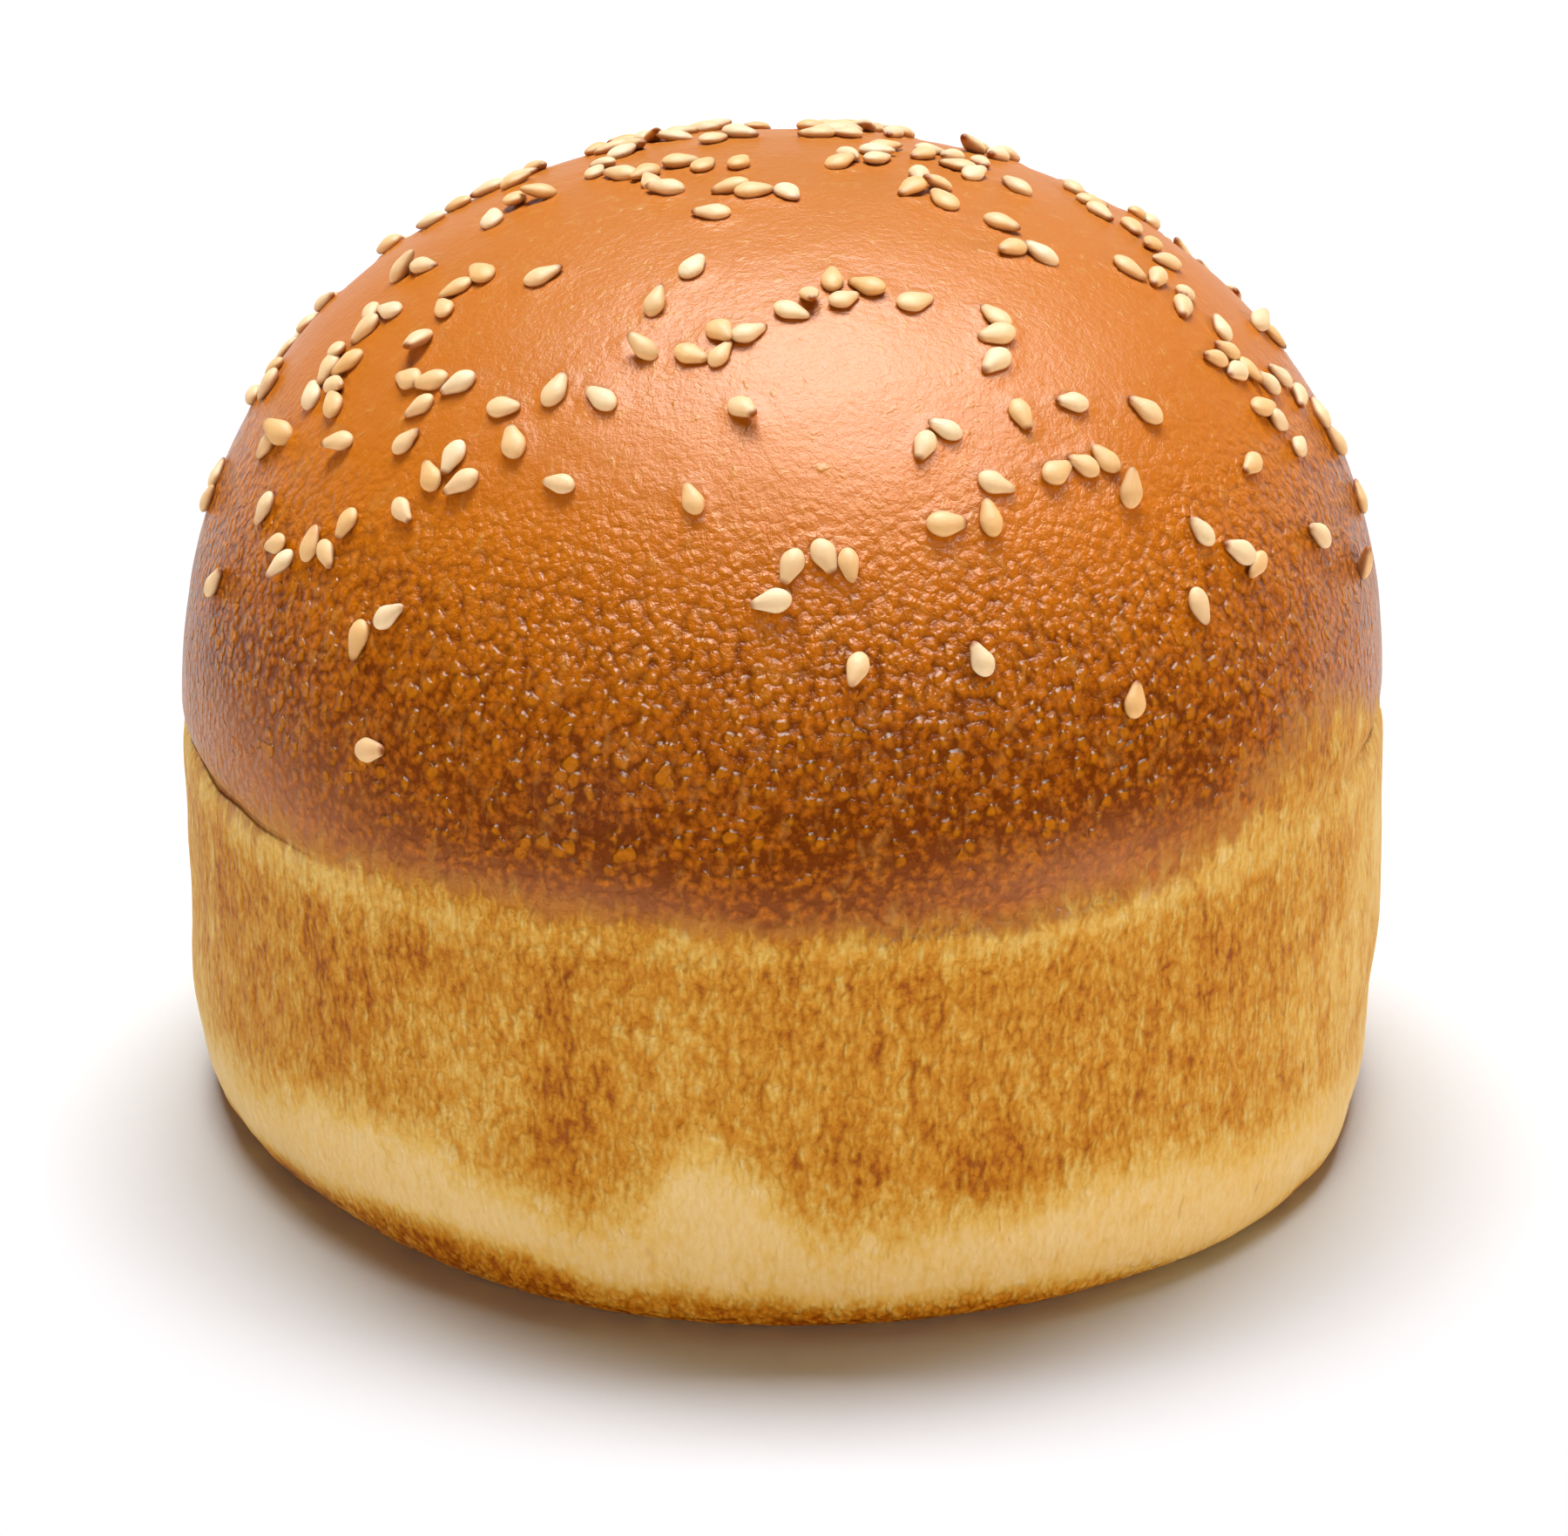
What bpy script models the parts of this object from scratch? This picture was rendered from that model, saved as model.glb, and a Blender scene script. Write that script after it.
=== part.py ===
"""Sesame burger bun: a tall ring-baked roll with a glazed, seeded dome, made as one fused solid.

Units are metres and +Z is up. The front is -Y and the right is +X. The origin is the middle of
the flat underside.
"""

import math
import random

import bmesh
import bpy
from mathutils import Matrix, Vector, noise
from mathutils.bvhtree import BVHTree

MM = 0.001

# The turned form
BUN_RADIUS = 52.3 * MM
SEAM_HEIGHT = 36.4 * MM        # where the dome meets the side that the baking ring shaped
DOME_RISE = 47.1 * MM
DOME_FULLNESS = 2.20           # exponent of the dome's outline: 2 is an ellipse, more is boxier
FOOT_RADIUS = 52.6 * MM        # the side spreads slightly towards its foot
FOOT_INSET = 4.7 * MM          # how far the rounded foot goes in to the underside
FOOT_RISE = 14.0 * MM          # how high that rounding starts
FOOT_FULLNESS = 3.0

# How the real loaf departs from the turned form
SEAM_LEAN = -0.5 * MM          # the loaf's middle at the seam, to the left of its top
FOOT_LEAN = 0.2 * MM           # and at the foot, to the right
SEAM_TILT = 0.6 * MM           # the seam is this much higher at the right than in the middle
SWELL = 0.45 * MM              # slow bumps and hollows in the crust
SWELL_LENGTH = 30.0 * MM       # distance from one of those to the next
SWELL_START = Vector((3.0, 7.0, 1.0))
SWELL_AT_FOOT = 0.4            # share of the swell that reaches the underside's edge

# Local bulges and hollows round the loaf, each by its azimuth in degrees from the front (+ to the
# right), the degrees that it fades over to either side, and how far out it stands
CREASE_BULGES = ((-80.0, 28.0, -0.5 * MM), (75.0, 24.0, -0.5 * MM))
CREASE_HALF_HEIGHT = 1.2 * MM
FOOT_BULGES = ((-52.0, 26.0, -2.1 * MM), (54.0, 22.0, 0.7 * MM), (90.0, 20.0, -1.2 * MM))
WAIST_BULGES = ((88.0, 30.0, -1.2 * MM), (-92.0, 30.0, 0.3 * MM))
WAIST_HEIGHT = 0.6 * FOOT_RISE
WAIST_HALF_HEIGHT = 0.5 * FOOT_RISE

# Facets of the loaf
TURN_STEPS = 44
DOME_STEPS = 14
WALL_STEPS = 3
FOOT_STEPS = 5
UNDERSIDE_STEPS = 2
AXIS_MERGE = 0.01 * MM
SMOOTH_UP_TO = 35.0            # degrees between facets that are shaded as one surface

# A hulled sesame seed
SEED_LENGTH = 3.4 * MM
SEED_WIDTH = 2.3 * MM
SEED_HEIGHT = 1.10 * MM        # how high the seed stands above its widest line
SEED_TAPER = 0.30              # how much narrower the pointed half is than the round half
SEED_WIDEST = -0.5             # where along its half length the seed has its full width
SEED_FLATTENING = 0.6          # share of the taper that its height takes too
SEED_SIDES = 6
SEED_BANDS = 3
SEED_SUNK = 0.30 * MM          # the widest line of a lying seed below the crust
LEANING_PIVOT = 0.3            # share of its length that a leaning seed is raised by, times the sine

# How seeds lie in their clumps; angles in degrees
SEED_SPACING = 1.9 * MM        # seeds' middles are never nearer than this
SEED_REACH = 3.1 * MM          # a clump's next seed is at most this far from one before it
SEED_TRIES = 25                # places tried for a seed before it is left out
NARROWEST_RING = 0.12          # keeps the sideways step of a seed near the top finite
HEADING_SPREAD = 11.5
LATER_HEADING = 126.0          # most that a clump's later seeds turn from the first one
SEED_SIZES = (0.9, 1.08)
LEAN_SPREAD = 3.0
LEANING_SHARE = 0.1            # share of the seeds that lean on others
LEANING = 24.0

# Seeds on the shown side, ring by ring down the dome. A ring is named by its height angle in
# degrees, seen from the middle of the seam. A clump is its azimuth from the front (+ to the
# right), its number of seeds and the clock hour that its first seed's tip faces, 12 being uphill.
SHOWN_CLUMPS = {
    82: ((-100, 3, 9), (-20, 2, 2), (5, 1, 6), (120, 2, 9)),
    76: ((-150, 2, 8), (-92, 4, 9), (-30, 1, 8), (88, 4, 9), (130, 3, 6), (165, 3, 3)),
    70: ((-125, 2, 9), (100, 2, 3), (160, 2, 9)),
    66: ((-21, 1, 12), (67, 1, 6), (96, 1, 2)),
    63: ((-93, 3, 9), (18, 3, 11), (58, 2, 9)),
    60: ((-52, 1, 1), (-24, 1, 12), (2, 2, 3), (26, 1, 3)),
    57: ((-10, 3, 4), (97, 3, 8)),
    54: ((-66, 3, 6), (-22, 1, 10), (-14, 1, 4), (36, 3, 9), (93, 2, 9)),
    51: ((-84, 2, 12), (-61, 1, 5), (78, 2, 10)),
    48: ((-74, 3, 8), (-32, 1, 1), (-25, 1, 10), (-5, 1, 4), (79, 2, 10)),
    45: ((-52, 4, 8), (-38, 1, 2), (21, 2, 10), (32, 1, 6), (40, 1, 9)),
    42: ((-70, 6, 7), (-34, 1, 11), (50, 1, 11), (74, 6, 10)),
    39: ((-49, 1, 12), (-41, 3, 6), (-26, 1, 9), (-10, 1, 11), (25, 1, 4), (33, 1, 3),
         (40, 3, 11), (92, 2, 3)),
    36: ((-59, 1, 8), (18, 1, 4), (23, 1, 12), (71, 3, 3), (82, 2, 11)),
    33: ((-88, 2, 6), (-72, 2, 9), (-44, 1, 4), (1, 1, 7), (7, 2, 6), (61, 1, 9)),
    30: ((-93, 1, 9), (-51, 2, 6), (-1, 1, 8), (48, 1, 11)),
    27: ((-66, 1, 6), (-55, 1, 12), (52, 2, 10), (86, 2, 12)),
    24: ((-58, 2, 6), (-41, 1, 2), (7, 1, 7), (19, 1, 11), (44, 1, 6), (67, 1, 11)),
    21: ((-86, 2, 12), (-44, 1, 6), (86, 1, 12)),
    18: ((-71, 1, 1), (34, 1, 1), (76, 1, 11)),
    12: ((-40, 1, 3),),
}

# Seeds on the far side follow a rule: rings this many degrees apart, with clumps along each
BACK_RINGS = range(22, 71, 6)
BACK_FROM = 106
BACK_TO = 258
BACK_CLUMP_GAP = 12.5 * MM
BACK_GAPS = (0.7, 1.3)
BACK_CLUMP_SIZES = (0, 1, 1, 2, 2, 3, 4)
BACK_RING_WANDER = 2.5
DRAW_SEED = 41
DEGREES_PER_HOUR = 30.0

CRUST_COLOUR = (0.42, 0.15, 0.035, 1.0)
CRUST_ROUGHNESS = 0.35


def superellipse(turn, across, up, fullness):
    """Point on a quarter superellipse: turn 0 is (across, 0) and a quarter turn is (0, up)."""
    power = 2.0 / fullness
    return across * max(math.cos(turn), 0.0) ** power, up * max(math.sin(turn), 0.0) ** power


def bun_profile():
    """The outline (radius, height) of the turned form, from the top down to the underside."""
    quarter = math.pi / 2
    points = [(0.0, SEAM_HEIGHT + DOME_RISE)]
    for step in range(1, DOME_STEPS):
        turn = quarter * (1.0 - step / DOME_STEPS)
        radius, rise = superellipse(turn, BUN_RADIUS, DOME_RISE, DOME_FULLNESS)
        points.append((radius, SEAM_HEIGHT + rise))
    for step in range(WALL_STEPS):
        share = step / WALL_STEPS
        radius = BUN_RADIUS + share * (FOOT_RADIUS - BUN_RADIUS)
        points.append((radius, SEAM_HEIGHT + share * (FOOT_RISE - SEAM_HEIGHT)))
    for step in range(FOOT_STEPS + 1):
        inset, drop = superellipse(quarter * step / FOOT_STEPS, FOOT_INSET, FOOT_RISE, FOOT_FULLNESS)
        points.append((FOOT_RADIUS - FOOT_INSET + inset, FOOT_RISE - drop))
    rim = FOOT_RADIUS - FOOT_INSET
    for step in range(1, UNDERSIDE_STEPS + 1):
        points.append((rim * (1.0 - step / UNDERSIDE_STEPS), 0.0))
    return points


def hill(value, middle, width):
    """A smooth hump of height 1 at the middle, fading over the width to either side."""
    return math.exp(-((value - middle) / width) ** 2)


def bulge(azimuth, places):
    """How far a ring of bulges and hollows stands out at an azimuth in degrees."""
    return sum(out * hill(azimuth, middle, spread) for middle, spread, out in places)


def uneven(point):
    """Where a point of the turned form lies on the real loaf. The underside stays flat."""
    x, y, z = point
    radius = math.hypot(x, y)
    azimuth = math.degrees(math.atan2(x, -y))
    above = max(z - SEAM_HEIGHT, 0.0) / DOME_RISE
    below = max(SEAM_HEIGHT - z, 0.0) / SEAM_HEIGHT
    near_seam = 1.0 - above - below
    outward = Vector((x, y, 0.0)).normalized()
    off_axis = radius / BUN_RADIUS
    lift = min(z / FOOT_RISE, 1.0)

    moved = Vector((x + SEAM_LEAN * near_seam + FOOT_LEAN * below, y, z))
    moved.z += SEAM_TILT * outward.x * off_axis * lift * near_seam
    swell = SWELL * noise.noise(Vector(point) / SWELL_LENGTH + SWELL_START)
    moved += outward * swell * off_axis * (SWELL_AT_FOOT + (1.0 - SWELL_AT_FOOT) * lift)
    moved += outward * bulge(azimuth, CREASE_BULGES) * hill(z, SEAM_HEIGHT, CREASE_HALF_HEIGHT)
    moved += outward * bulge(azimuth, FOOT_BULGES) * off_axis * (1.0 - lift)
    waist = hill(z, WAIST_HEIGHT, WAIST_HALF_HEIGHT) * off_axis * lift
    moved += outward * bulge(azimuth, WAIST_BULGES) * waist
    return moved


def turned_loaf():
    """The loaf without seeds: the profile turned about Z, then made as uneven as the real one."""
    mesh = bpy.data.meshes.new("loaf_profile")
    points = [(radius, 0.0, height) for radius, height in bun_profile()]
    mesh.from_pydata(points, [(i, i + 1) for i in range(len(points) - 1)], [])
    loaf = bpy.data.objects.new("bun", mesh)
    bpy.context.scene.collection.objects.link(loaf)
    screw = loaf.modifiers.new("turn", "SCREW")
    screw.steps = TURN_STEPS
    screw.render_steps = TURN_STEPS
    screw.use_merge_vertices = True
    screw.merge_threshold = AXIS_MERGE
    apply_modifier(loaf, screw)
    for vertex in loaf.data.vertices:
        vertex.co = uneven(vertex.co)
    return loaf


def apply_modifier(piece, modifier):
    """Apply one modifier of a piece to its mesh."""
    with bpy.context.temp_override(object=piece, active_object=piece):
        bpy.ops.object.modifier_apply(modifier=modifier.name)


def dome_reach(height_angle):
    """Distance from the middle of the seam to the dome at a height angle in radians."""
    across = math.cos(height_angle) / BUN_RADIUS
    up = math.sin(height_angle) / DOME_RISE
    return (across ** DOME_FULLNESS + up ** DOME_FULLNESS) ** (-1.0 / DOME_FULLNESS)


def direction(azimuth, height_angle):
    """Unit vector from the middle of the seam, for angles in radians."""
    flat = math.cos(height_angle)
    return Vector((flat * math.sin(azimuth), -flat * math.cos(azimuth), math.sin(height_angle)))


def on_dome(azimuth, height_angle):
    """Point of the even dome, used only to measure the distance between seeds."""
    return direction(azimuth, height_angle) * dome_reach(height_angle)


def clumps(draw):
    """Every clump as azimuth and height angle in radians, number of seeds and tip hour."""
    for ring, members in SHOWN_CLUMPS.items():
        for azimuth, count, hour in members:
            yield math.radians(azimuth), math.radians(ring), count, hour
    for ring in BACK_RINGS:
        height_angle = math.radians(ring)
        gap = math.degrees(BACK_CLUMP_GAP / (dome_reach(height_angle) * math.cos(height_angle)))
        azimuth = BACK_FROM + draw.uniform(0.0, gap)
        while azimuth < BACK_TO:
            count = draw.choice(BACK_CLUMP_SIZES)
            wander = math.radians(draw.uniform(-BACK_RING_WANDER, BACK_RING_WANDER))
            yield math.radians(azimuth), height_angle + wander, count, draw.uniform(0.0, 12.0)
            azimuth += gap * draw.uniform(*BACK_GAPS)


def seed_places():
    """Azimuth, height angle, tip heading, size and lean of every seed, by a seeded draw."""
    draw = random.Random(DRAW_SEED)
    places = []
    middles = []
    for azimuth, height_angle, count, hour in clumps(draw):
        spots = [(azimuth, height_angle)]
        for member in range(count):
            for attempt in range(SEED_TRIES):
                start_azimuth, start_height = draw.choice(spots)
                reach = dome_reach(start_height)
                bearing = draw.uniform(0.0, math.tau)
                distance = draw.uniform(SEED_SPACING, SEED_REACH) if member + attempt else 0.0
                height = start_height + distance * math.cos(bearing) / reach
                ring = reach * max(math.cos(start_height), NARROWEST_RING)
                spot = (start_azimuth + distance * math.sin(bearing) / ring, height)
                middle = on_dome(*spot)
                if all((middle - other).length > SEED_SPACING for other in middles):
                    break
            else:
                continue
            heading = DEGREES_PER_HOUR * hour + draw.gauss(0.0, HEADING_SPREAD)
            if member:
                heading += draw.uniform(-LATER_HEADING, LATER_HEADING)
            size = draw.uniform(*SEED_SIZES)
            lean = draw.gauss(0.0, LEAN_SPREAD)
            if draw.random() < LEANING_SHARE:
                lean += LEANING
            spots.append(spot)
            middles.append(middle)
            places.append((*spot, math.radians(heading), size, math.radians(lean)))
    return places


def seed_frame(crust, azimuth, height_angle, heading, lean):
    """Matrix of a seed lying on the crust: its X is the tip, its Z stands off the crust."""
    seam_middle = Vector((SEAM_LEAN, 0.0, SEAM_HEIGHT))
    point, normal, _, _ = crust.ray_cast(seam_middle, direction(azimuth, height_angle))
    uphill = (Vector((0.0, 0.0, 1.0)) - normal * normal.z).normalized()
    right = uphill.cross(normal)
    tip = uphill * math.cos(heading) + right * math.sin(heading)
    tip = tip * math.cos(lean) + normal * math.sin(lean)
    side = normal.cross(tip).normalized()
    stand = tip.cross(side)
    raised = LEANING_PIVOT * SEED_LENGTH * abs(math.sin(lean)) - SEED_SUNK
    frame = Matrix((tip, side, stand)).transposed().to_4x4()
    frame.translation = point + normal * raised
    return frame


def seed_mesh():
    """One few-sided seed: a sphere with its poles on X, flattened, and narrowed to the tip."""
    shape = bmesh.new()
    lying = Matrix.Rotation(math.pi / 2, 4, "Y")
    bmesh.ops.create_uvsphere(shape, u_segments=SEED_SIDES, v_segments=SEED_BANDS, radius=1.0,
                              matrix=lying)
    ring = math.sin(math.pi / SEED_BANDS)
    top = max(vertex.co.z for vertex in shape.verts)
    for vertex in shape.verts:
        narrow = 1.0 - SEED_TAPER * (vertex.co.x - SEED_WIDEST)
        vertex.co.x *= 0.5 * SEED_LENGTH
        vertex.co.y *= 0.5 * SEED_WIDTH / ring * narrow
        vertex.co.z *= SEED_HEIGHT / top * (1.0 - SEED_FLATTENING * (1.0 - narrow))
    bmesh.ops.recalc_face_normals(shape, faces=shape.faces)
    mesh = bpy.data.meshes.new("seed")
    shape.to_mesh(mesh)
    shape.free()
    return mesh


def crust_tree(loaf):
    """The loaf's surface, for finding where a seed lands."""
    shape = bmesh.new()
    shape.from_mesh(loaf.data)
    tree = BVHTree.FromBMesh(shape)
    shape.free()
    return tree


def fuse_seeds(loaf):
    """Lay the seeds on the loaf and join them to it with one union."""
    crust = crust_tree(loaf)
    toppings = bpy.data.collections.new("seeds_to_fuse")
    bpy.context.scene.collection.children.link(toppings)
    mesh = seed_mesh()
    for azimuth, height_angle, heading, size, lean in seed_places():
        seed = bpy.data.objects.new("seed", mesh)
        frame = seed_frame(crust, azimuth, height_angle, heading, lean)
        seed.matrix_world = frame @ Matrix.Scale(size, 4)
        toppings.objects.link(seed)
    bpy.context.view_layer.update()
    union = loaf.modifiers.new("fuse_seeds", "BOOLEAN")
    union.operation = "UNION"
    union.operand_type = "COLLECTION"
    union.collection = toppings
    apply_modifier(loaf, union)
    for seed in list(toppings.objects):
        bpy.data.objects.remove(seed)
    bpy.data.collections.remove(toppings)
    bpy.data.meshes.remove(mesh)


def crust_material():
    """Egg-washed golden crust."""
    material = bpy.data.materials.new("egg_washed_crust")
    material.use_nodes = True
    shader = material.node_tree.nodes["Principled BSDF"]
    shader.inputs["Base Color"].default_value = CRUST_COLOUR
    shader.inputs["Roughness"].default_value = CRUST_ROUGHNESS
    shader.inputs["Metallic"].default_value = 0.0
    material.diffuse_color = CRUST_COLOUR
    return material


def main():
    """Make the bun and put it in its collection."""
    for item in list(bpy.data.objects):
        bpy.data.objects.remove(item)
    loaf = turned_loaf()
    fuse_seeds(loaf)
    loaf.data.materials.clear()
    loaf.data.materials.append(crust_material())
    loaf.data.shade_smooth()
    loaf.data.set_sharp_from_angle(angle=math.radians(SMOOTH_UP_TO))
    parts = bpy.data.collections.new("sesame_burger_bun")
    bpy.context.scene.collection.children.link(parts)
    bpy.context.scene.collection.objects.unlink(loaf)
    parts.objects.link(loaf)


main()
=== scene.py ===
"""Sesame burger bun: its crust, seeds, floor, light and camera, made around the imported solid.

The file is laid out as an add-on and is run as a script. Lengths are metres, +Z is up, the front
is -Y and the right is +X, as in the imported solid.
"""

import math
import random

import bmesh
import bpy
import numpy as np
from bpy.props import FloatProperty, FloatVectorProperty, PointerProperty
from mathutils import Matrix, Vector, noise
from mathutils.bvhtree import BVHTree
from mathutils.kdtree import KDTree


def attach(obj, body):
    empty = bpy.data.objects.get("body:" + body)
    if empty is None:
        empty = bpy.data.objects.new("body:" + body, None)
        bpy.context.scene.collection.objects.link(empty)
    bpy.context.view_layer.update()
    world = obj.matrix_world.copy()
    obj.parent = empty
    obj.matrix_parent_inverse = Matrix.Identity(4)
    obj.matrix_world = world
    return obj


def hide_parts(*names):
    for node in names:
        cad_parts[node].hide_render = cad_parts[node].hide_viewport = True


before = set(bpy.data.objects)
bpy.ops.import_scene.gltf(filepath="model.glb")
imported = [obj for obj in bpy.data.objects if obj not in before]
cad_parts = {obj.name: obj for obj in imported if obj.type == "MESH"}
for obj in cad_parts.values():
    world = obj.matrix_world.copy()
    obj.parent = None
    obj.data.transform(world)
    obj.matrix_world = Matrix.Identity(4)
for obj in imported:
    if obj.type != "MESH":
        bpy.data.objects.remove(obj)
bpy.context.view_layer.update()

bl_info = {
    "name": "Sesame Burger Bun",
    "version": (1, 0, 0),
    "blender": (4, 5, 0),
    "location": "View3D > Sidebar > Bun",
    "description": "Makes a glazed burger bun with sesame seeds, and a plain studio to show it",
    "category": "Add Mesh",
}

MM = 0.001

# The loaf's form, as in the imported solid
BUN_RADIUS = 52.3 * MM
SEAM_HEIGHT = 36.4 * MM
DOME_RISE = 47.1 * MM
DOME_FULLNESS = 2.20
FOOT_RADIUS = 52.6 * MM
FOOT_INSET = 4.7 * MM
FOOT_RISE = 14.0 * MM
FOOT_FULLNESS = 3.0
SEAM_LEAN = -0.5 * MM
FOOT_LEAN = 0.2 * MM
SEAM_TILT = 0.6 * MM
SWELL = 0.45 * MM
SWELL_LENGTH = 30.0 * MM
SWELL_START = np.array((3.0, 7.0, 1.0))
SWELL_AT_FOOT = 0.4

# Bulges and hollows round the loaf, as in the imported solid: azimuth from the front in degrees
# (+ to the right), the degrees that it fades over to either side, and how far out it stands
CREASE_BULGES = ((-80.0, 28.0, -0.5 * MM), (75.0, 24.0, -0.5 * MM))
CREASE_HALF_HEIGHT = 1.2 * MM
FOOT_BULGES = ((-52.0, 26.0, -2.1 * MM), (54.0, 22.0, 0.7 * MM), (90.0, 20.0, -1.2 * MM))
WAIST_BULGES = ((88.0, 30.0, -1.2 * MM), (-92.0, 30.0, 0.3 * MM))
WAIST_HEIGHT = 0.6 * FOOT_RISE
WAIST_HALF_HEIGHT = 0.5 * FOOT_RISE

# The seeds' places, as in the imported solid: ring by ring down the dome, named by height angle in
# degrees, each clump is its azimuth from the front, its number of seeds and its tip's clock hour
SEED_SPACING = 1.9 * MM
SEED_REACH = 3.1 * MM
SHOWN_CLUMPS = {
    82: ((-100, 3, 9), (-20, 2, 2), (5, 1, 6), (120, 2, 9)),
    76: ((-150, 2, 8), (-92, 4, 9), (-30, 1, 8), (88, 4, 9), (130, 3, 6), (165, 3, 3)),
    70: ((-125, 2, 9), (100, 2, 3), (160, 2, 9)),
    66: ((-21, 1, 12), (67, 1, 6), (96, 1, 2)),
    63: ((-93, 3, 9), (18, 3, 11), (58, 2, 9)),
    60: ((-52, 1, 1), (-24, 1, 12), (2, 2, 3), (26, 1, 3)),
    57: ((-10, 3, 4), (97, 3, 8)),
    54: ((-66, 3, 6), (-22, 1, 10), (-14, 1, 4), (36, 3, 9), (93, 2, 9)),
    51: ((-84, 2, 12), (-61, 1, 5), (78, 2, 10)),
    48: ((-74, 3, 8), (-32, 1, 1), (-25, 1, 10), (-5, 1, 4), (79, 2, 10)),
    45: ((-52, 4, 8), (-38, 1, 2), (21, 2, 10), (32, 1, 6), (40, 1, 9)),
    42: ((-70, 6, 7), (-34, 1, 11), (50, 1, 11), (74, 6, 10)),
    39: ((-49, 1, 12), (-41, 3, 6), (-26, 1, 9), (-10, 1, 11), (25, 1, 4), (33, 1, 3),
         (40, 3, 11), (92, 2, 3)),
    36: ((-59, 1, 8), (18, 1, 4), (23, 1, 12), (71, 3, 3), (82, 2, 11)),
    33: ((-88, 2, 6), (-72, 2, 9), (-44, 1, 4), (1, 1, 7), (7, 2, 6), (61, 1, 9)),
    30: ((-93, 1, 9), (-51, 2, 6), (-1, 1, 8), (48, 1, 11)),
    27: ((-66, 1, 6), (-55, 1, 12), (52, 2, 10), (86, 2, 12)),
    24: ((-58, 2, 6), (-41, 1, 2), (7, 1, 7), (19, 1, 11), (44, 1, 6), (67, 1, 11)),
    21: ((-86, 2, 12), (-44, 1, 6), (86, 1, 12)),
    18: ((-71, 1, 1), (34, 1, 1), (76, 1, 11)),
    12: ((-40, 1, 3),),
}
BACK_RINGS = range(22, 71, 6)
BACK_FROM = 106
BACK_TO = 258
BACK_CLUMP_GAP = 12.5 * MM
BACK_CLUMP_SIZES = (0, 1, 1, 2, 2, 3, 4)
BACK_GAPS = (0.7, 1.3)
BACK_RING_WANDER = 2.5         # degrees
SEED_TRIES = 25
NARROWEST_RING = 0.12          # keeps the step round the crown from growing without end
DEGREES_PER_HOUR = 30.0
HEADING_SPREAD = 0.2           # radians
LATER_HEADING = 2.2            # radians, for the seeds after the first of a clump
SEED_SIZES = (0.9, 1.08)
LEAN_SPREAD = 3.0              # degrees
LEANING_SHARE = 0.1
LEANING = 24.0                 # degrees
LEANING_PIVOT = 0.3
DRAW_SEED = 41

# How the loaf's crust varies: mostly as the real loaf baked, with painted sheen above the seam on the
# dome's flanks and paler flanks on the side. A rise is its azimuth in degrees from the front, the
# degrees that it fades over to either side, and its height. A patch is its azimuth and spread, its
# height and half-height, and its strength.
BAKE_LAYERS = ("glaze", "wash", "browning", "toasting", "dull_skin_and_sheen", "rough", "blisters", "seam",
               "crease")
GLAZE_END = 0.6 * MM           # the glaze ends this far above the seam
GLAZE_RISES = ((60.0, 15.0, 7.5 * MM), (-30.0, 14.0, 1.2 * MM))
GLAZE_FADE = 1.8 * MM
GLAZE_FADES = ((50.0, 20.0, 5.0 * MM), (-56.0, 18.0, 3.4 * MM), (-20.0, 12.0, 1.0 * MM))
SIDE_TOASTING = 0.58            # 0 is pale cream and 1 is brown, here for the side's upper part
CREAM_TOASTING = 0.10
CREAM_TOP = 10.5 * MM
CREAM_FADE = 4.2 * MM
CREAM_RISES = ((-42.0, 13.0, 4.5 * MM), (-7.0, 6.0, 6.5 * MM), (36.0, 8.0, 2.0 * MM),
               (72.0, 22.0, -2.5 * MM))
RIM_TOASTING = 0.79
RIM_TOP = 2.4 * MM
RIM_FADE = 2.0 * MM
RIM_RISES = ((-34.0, 22.0, 2.8 * MM), (5.0, 12.0, 0.9 * MM), (46.0, 20.0, -2.0 * MM),
             (160.0, 50.0, 1.5 * MM))
BARS = ((0.0, 55.0, 30.0 * MM, 5.0 * MM, 0.07), (0.0, 60.0, 35.2 * MM, 1.2 * MM, -0.16),
        (-52.0, 20.0, 34.5 * MM, 2.2 * MM, -0.25), (46.0, 20.0, 36.0 * MM, 3.0 * MM, -0.18),
        (-20.5, 3.6, 21.0 * MM, 9.0 * MM, 0.24), (18.5, 4.5, 13.0 * MM, 7.0 * MM, 0.24),
        (5.0, 4.0, 17.0 * MM, 7.0 * MM, 0.14), (-46.0, 5.0, 21.0 * MM, 9.0 * MM, 0.16),
        (-9.0, 5.0, 24.0 * MM, 6.0 * MM, -0.14), (-32.0, 5.0, 20.0 * MM, 9.0 * MM, -0.12),
        (44.0, 8.0, 24.0 * MM, 9.0 * MM, 0.10), (60.0, 6.0, 20.0 * MM, 14.0 * MM, -0.12),
        # The two wide patches at -90 and 86 degrees make the side paler towards its flanks
        (-68.0, 5.0, 24.0 * MM, 8.0 * MM, 0.12), (-90.0, 20.0, 20.0 * MM, 20.0 * MM, -0.26),
        (86.0, 22.0, 22.0 * MM, 20.0 * MM, -0.30), (118.0, 8.0, 18.0 * MM, 9.0 * MM, 0.22),
        (150.0, 6.0, 22.0 * MM, 8.0 * MM, 0.25), (-165.0, 7.0, 16.0 * MM, 8.0 * MM, 0.25),
        (-125.0, 6.0, 20.0 * MM, 9.0 * MM, 0.22))
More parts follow.
